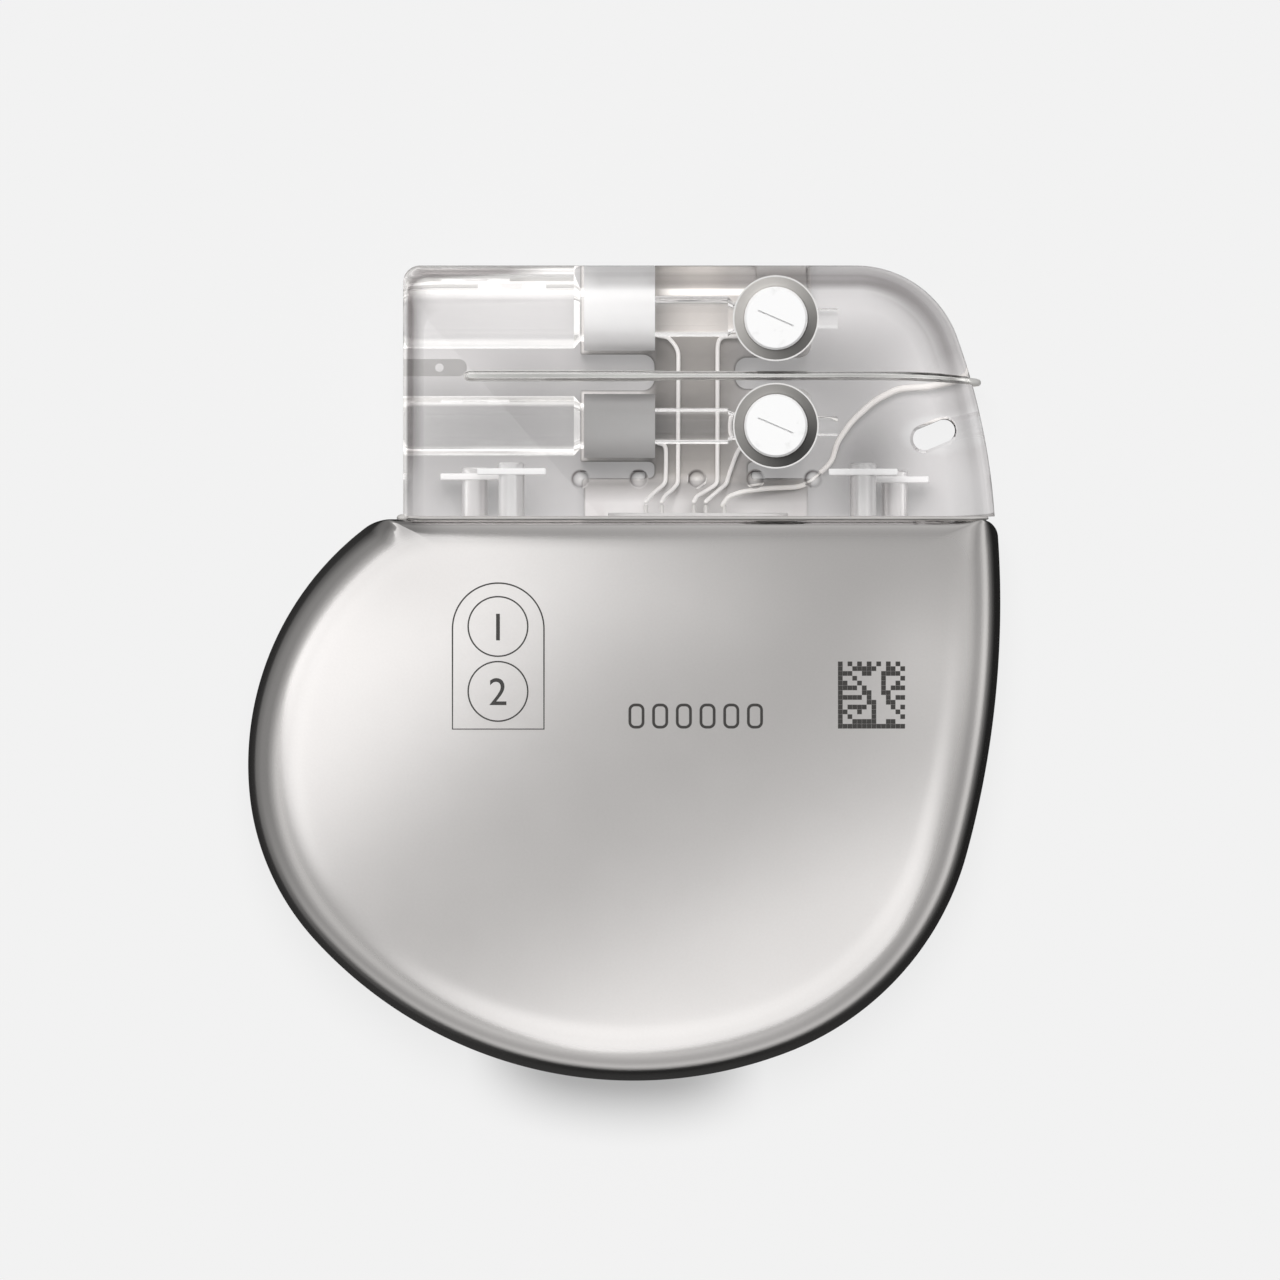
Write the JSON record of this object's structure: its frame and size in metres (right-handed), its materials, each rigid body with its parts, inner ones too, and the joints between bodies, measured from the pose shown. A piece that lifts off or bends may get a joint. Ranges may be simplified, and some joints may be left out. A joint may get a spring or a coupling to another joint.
{
  "type": "cardiac pacemaker",
  "caption": "Flat implantable pulse generator: a rounded titanium case with a clear side-entry connector header, set screws under white seal plugs, and its battery and circuit inside.",
  "frame": {"origin": "centre of the footprint on the flat rear face", "axes": "+X along the header away from the lead ports, +Y from the case to the header, +Z out of the marked front face"},
  "size_m": [0.0446, 0.0484, 0.0075],
  "materials": {
    "case_titanium": "bead-blasted titanium",
    "header_polymer": "clear moulded polymer",
    "adhesive": "medical adhesive",
    "backfill_silicone": "translucent silicone",
    "plug_silicone": "white silicone",
    "contact_metal": "machined",
    "spring_wire": "drawn wire",
    "lead_wire_metal": "drawn wire",
    "antenna_metal": "drawn wire",
    "tag_metal": "stamped tungsten sheet",
    "post_metal": "turned titanium",
    "feedthrough_metal": "machined titanium",
    "pin_metal": "platinum wire",
    "alumina": "white ceramic",
    "filter_ceramic": "brown ceramic",
    "battery_steel": "drawn steel",
    "seal_glass": "fused glass",
    "tab_nickel": "nickel ribbon",
    "board_ceramic": "thick-film ceramic",
    "flex_film": "polyimide",
    "chip_moulding": "moulded",
    "can_nickel": "plated lid",
    "tantalum_moulding": "moulded",
    "coil_copper": "enamelled winding",
    "desiccant": "pressed",
    "insulating_film": "polyimide"
  },
  "bodies": {
    "pacemaker": {"front_case": "case_titanium", "rear_case": "case_titanium", "weld_band": "case_titanium", "header_body": "header_polymer", "header_bond": "adhesive", "backfill": "backfill_silicone", "seal_plug_atrial": "plug_silicone", "seal_plug_ventricular": "plug_silicone", "ring_contact_atrial": "contact_metal", "ring_contact_ventricular": "contact_metal", "tip_block_atrial": "contact_metal", "tip_block_ventricular": "contact_metal", "ring_spring_atrial": "spring_wire", "ring_spring_ventricular": "spring_wire", "lead_wire_ring_atrial": "lead_wire_metal", "lead_wire_ring_ventricular": "lead_wire_metal", "lead_wire_tip_atrial": "lead_wire_metal", "lead_wire_tip_ventricular": "lead_wire_metal", "antenna_wire": "antenna_metal", "xray_id_tag": "tag_metal", "anchor_post_left_rear": "post_metal", "anchor_post_left_front": "post_metal", "anchor_post_right_front": "post_metal", "anchor_post_right_rear": "post_metal", "feedthrough_ferrule": "feedthrough_metal", "feedthrough_pin_1": "pin_metal", "feedthrough_pin_2": "pin_metal", "feedthrough_pin_3": "pin_metal", "feedthrough_pin_4": "pin_metal", "feedthrough_pin_5": "pin_metal", "battery_terminal": "pin_metal", "feedthrough_insulator": "alumina", "filter_capacitor": "filter_ceramic", "output_capacitor_1": "filter_ceramic", "output_capacitor_2": "filter_ceramic", "battery": "battery_steel", "battery_glass_seal": "seal_glass", "battery_terminal_tab": "tab_nickel", "battery_ground_tab": "tab_nickel", "circuit_board": "board_ceramic", "flex_circuit": "flex_film", "processor_chip": "chip_moulding", "memory_chip": "chip_moulding", "sensing_chip": "chip_moulding", "magnet_sensor": "chip_moulding", "crystal": "can_nickel", "accelerometer": "can_nickel", "tantalum_capacitor_1": "tantalum_moulding", "tantalum_capacitor_2": "tantalum_moulding", "telemetry_coil": "coil_copper", "desiccant_block": "desiccant", "front_insulator": "insulating_film", "rear_insulator": "insulating_film"},
    "atrial_screw": {"set_screw_atrial": "contact_metal"},
    "ventricular_screw": {"set_screw_ventricular": "contact_metal"}
  },
  "joints": [
    {"name": "set_screw_atrial_slide", "type": "slide", "parent": "pacemaker", "child": "atrial_screw", "axis": [0, 0, -1], "range_m": [0, 0.0008]},
    {"name": "set_screw_ventricular_slide", "type": "slide", "parent": "pacemaker", "child": "ventricular_screw", "axis": [0, 0, -1], "range_m": [0, 0.0008]}
  ]
}
